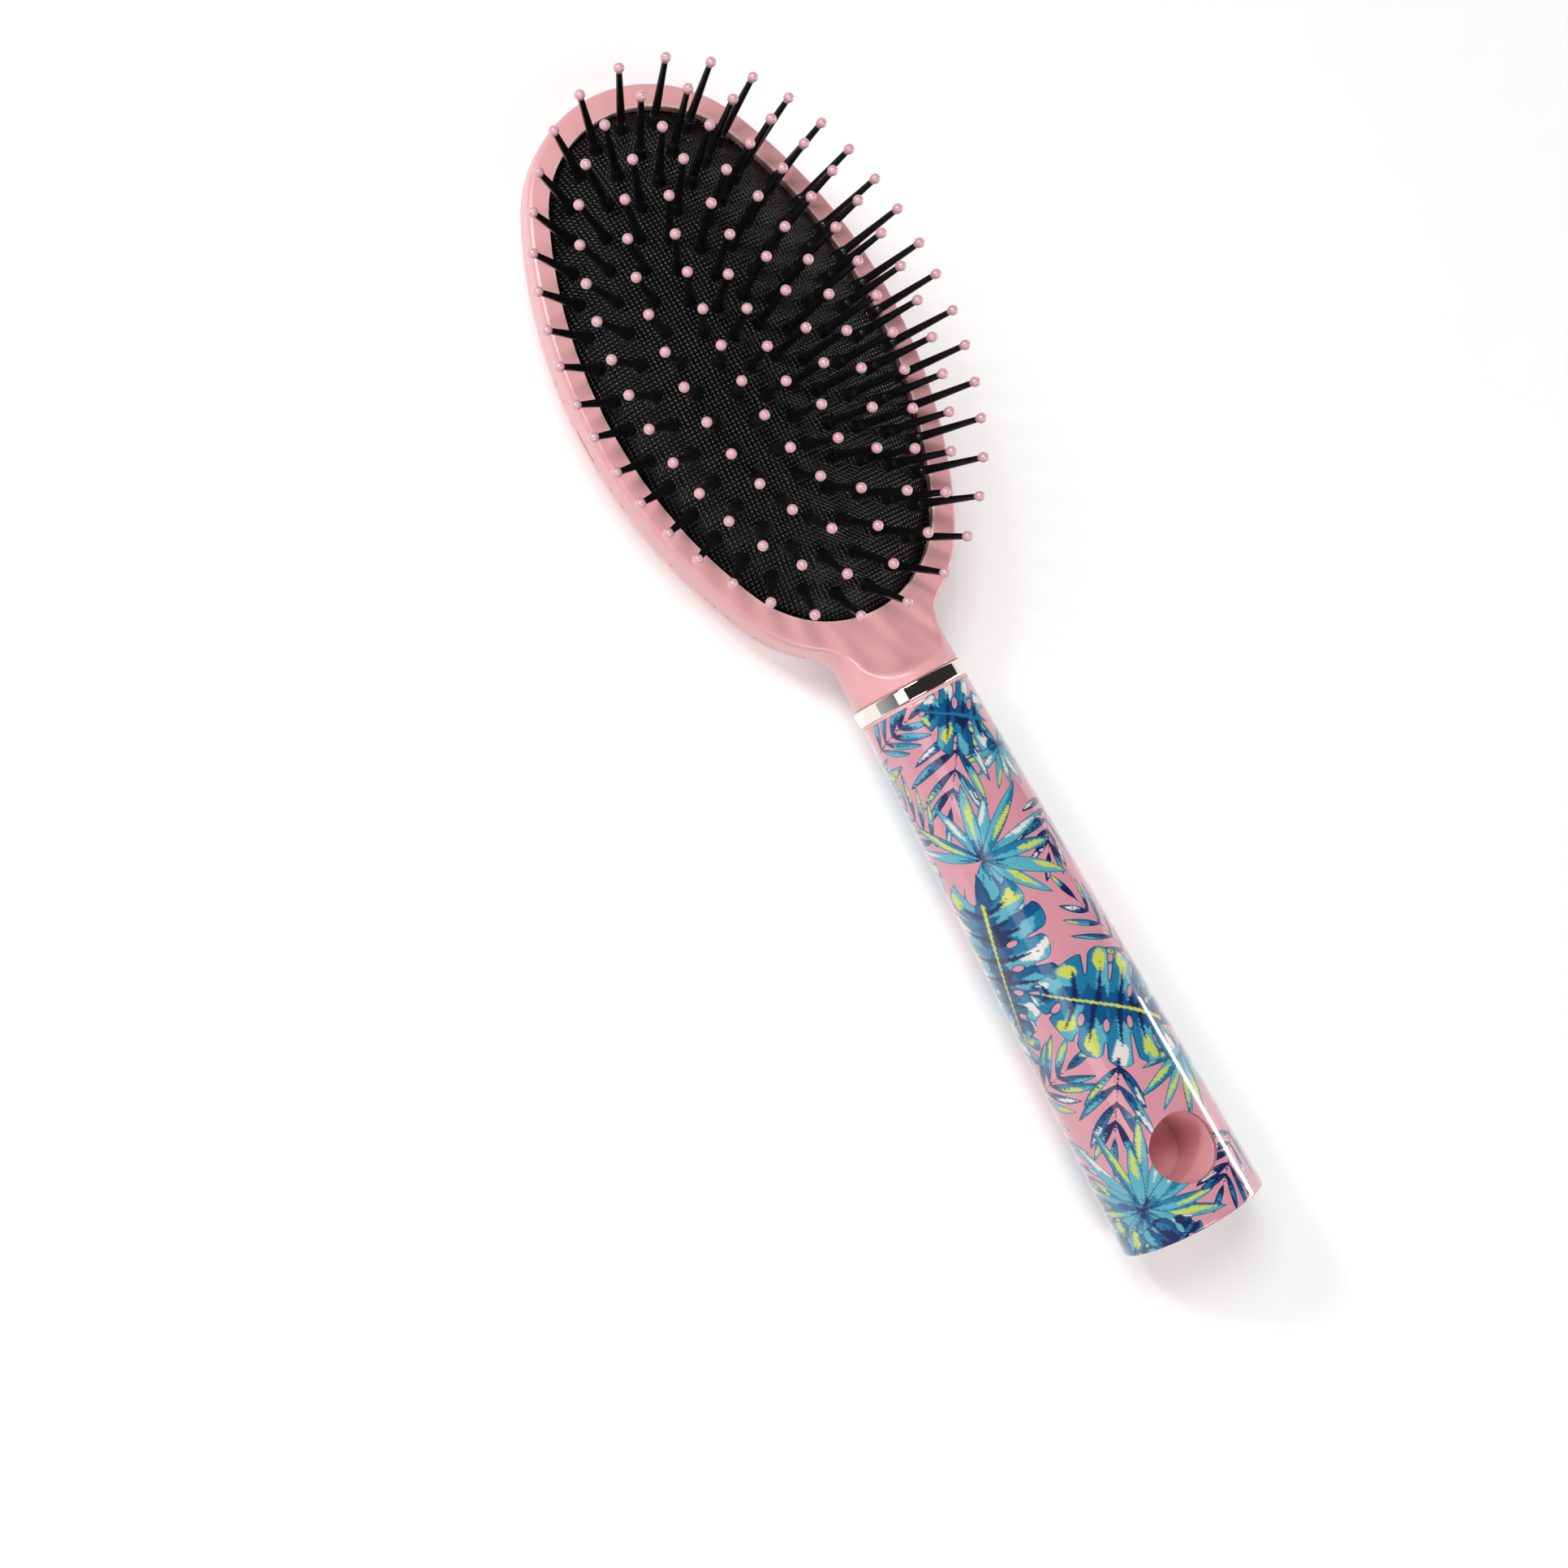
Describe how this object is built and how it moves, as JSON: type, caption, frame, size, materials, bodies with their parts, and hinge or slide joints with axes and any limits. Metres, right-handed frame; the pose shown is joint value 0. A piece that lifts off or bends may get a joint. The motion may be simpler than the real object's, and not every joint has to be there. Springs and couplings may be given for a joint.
{
  "type": "vanity hairbrush",
  "caption": "Oval air-cushion hairbrush: ball-tipped pins in a sprung rubber pad, moulded head, bright ferrule and round tapered handle with a printed leaf sleeve and a hanging hole.",
  "frame": {"origin": "bottom centre of the whole brush as it lies on its back, bristles up", "axes": "X is the width and the plane of symmetry's normal, +Y runs from the handle's end to the top of the head, +Z is the bristle side"},
  "size_m": [0.0776, 0.2442, 0.0474],
  "materials": {
    "head_plastic": "satin-gloss moulded pink plastic",
    "cushion_rubber": "black rubber embossed with a fine woven crosshatch",
    "inner_plastic": "plain black moulding inside the head",
    "ferrule_chrome": "bright chrome plating",
    "handle_plastic": "glossy moulded pink plastic",
    "printed_sleeve": "high gloss pink with a printed pattern of tropical leaves",
    "pin_nylon": "satin black nylon",
    "tip_enamel": "glossy pale pink enamel beads"
  },
  "bodies": {
    "brush_body": {"front_frame": "head_plastic", "back_cover": "head_plastic", "cushion": "cushion_rubber", "cushion_plate": "inner_plastic", "ferrule": "ferrule_chrome", "handle_core": "handle_plastic", "handle_sleeve": "printed_sleeve", "hole_bush": "handle_plastic", "end_cap": "handle_plastic"},
    "bristles_centre": {"pins_centre": "pin_nylon", "tips_centre": "tip_enamel"},
    "bristles_ring_4": {"pins_ring_4": "pin_nylon", "tips_ring_4": "tip_enamel"},
    "bristles_ring_3": {"pins_ring_3": "pin_nylon", "tips_ring_3": "tip_enamel"},
    "bristles_ring_2": {"pins_ring_2": "pin_nylon", "tips_ring_2": "tip_enamel"},
    "bristles_ring_1": {"pins_ring_1": "pin_nylon", "tips_ring_1": "tip_enamel"}
  },
  "joints": [
    {"name": "press_centre", "type": "slide", "parent": "brush_body", "child": "bristles_centre", "axis": [0, 0, -1], "range_m": [0, 0.005], "stiffness_N_per_m": 120, "deforming": ["cushion"]},
    {"name": "press_ring_4", "type": "slide", "parent": "brush_body", "child": "bristles_ring_4", "axis": [0, 0, -1], "range_m": [0, 0.0046], "stiffness_N_per_m": 200},
    {"name": "press_ring_3", "type": "slide", "parent": "brush_body", "child": "bristles_ring_3", "axis": [0, 0, -1], "range_m": [0, 0.004], "stiffness_N_per_m": 260},
    {"name": "press_ring_2", "type": "slide", "parent": "brush_body", "child": "bristles_ring_2", "axis": [0, 0, -1], "range_m": [0, 0.003], "stiffness_N_per_m": 320},
    {"name": "press_ring_1", "type": "slide", "parent": "brush_body", "child": "bristles_ring_1", "axis": [0, 0, -1], "range_m": [0, 0.0014], "stiffness_N_per_m": 380}
  ],
  "couplings": [
    {"joint": "press_ring_4", "follows": "press_centre", "ratio": 0.9},
    {"joint": "press_ring_3", "follows": "press_centre", "ratio": 0.78},
    {"joint": "press_ring_2", "follows": "press_centre", "ratio": 0.585},
    {"joint": "press_ring_1", "follows": "press_centre", "ratio": 0.274}
  ]
}
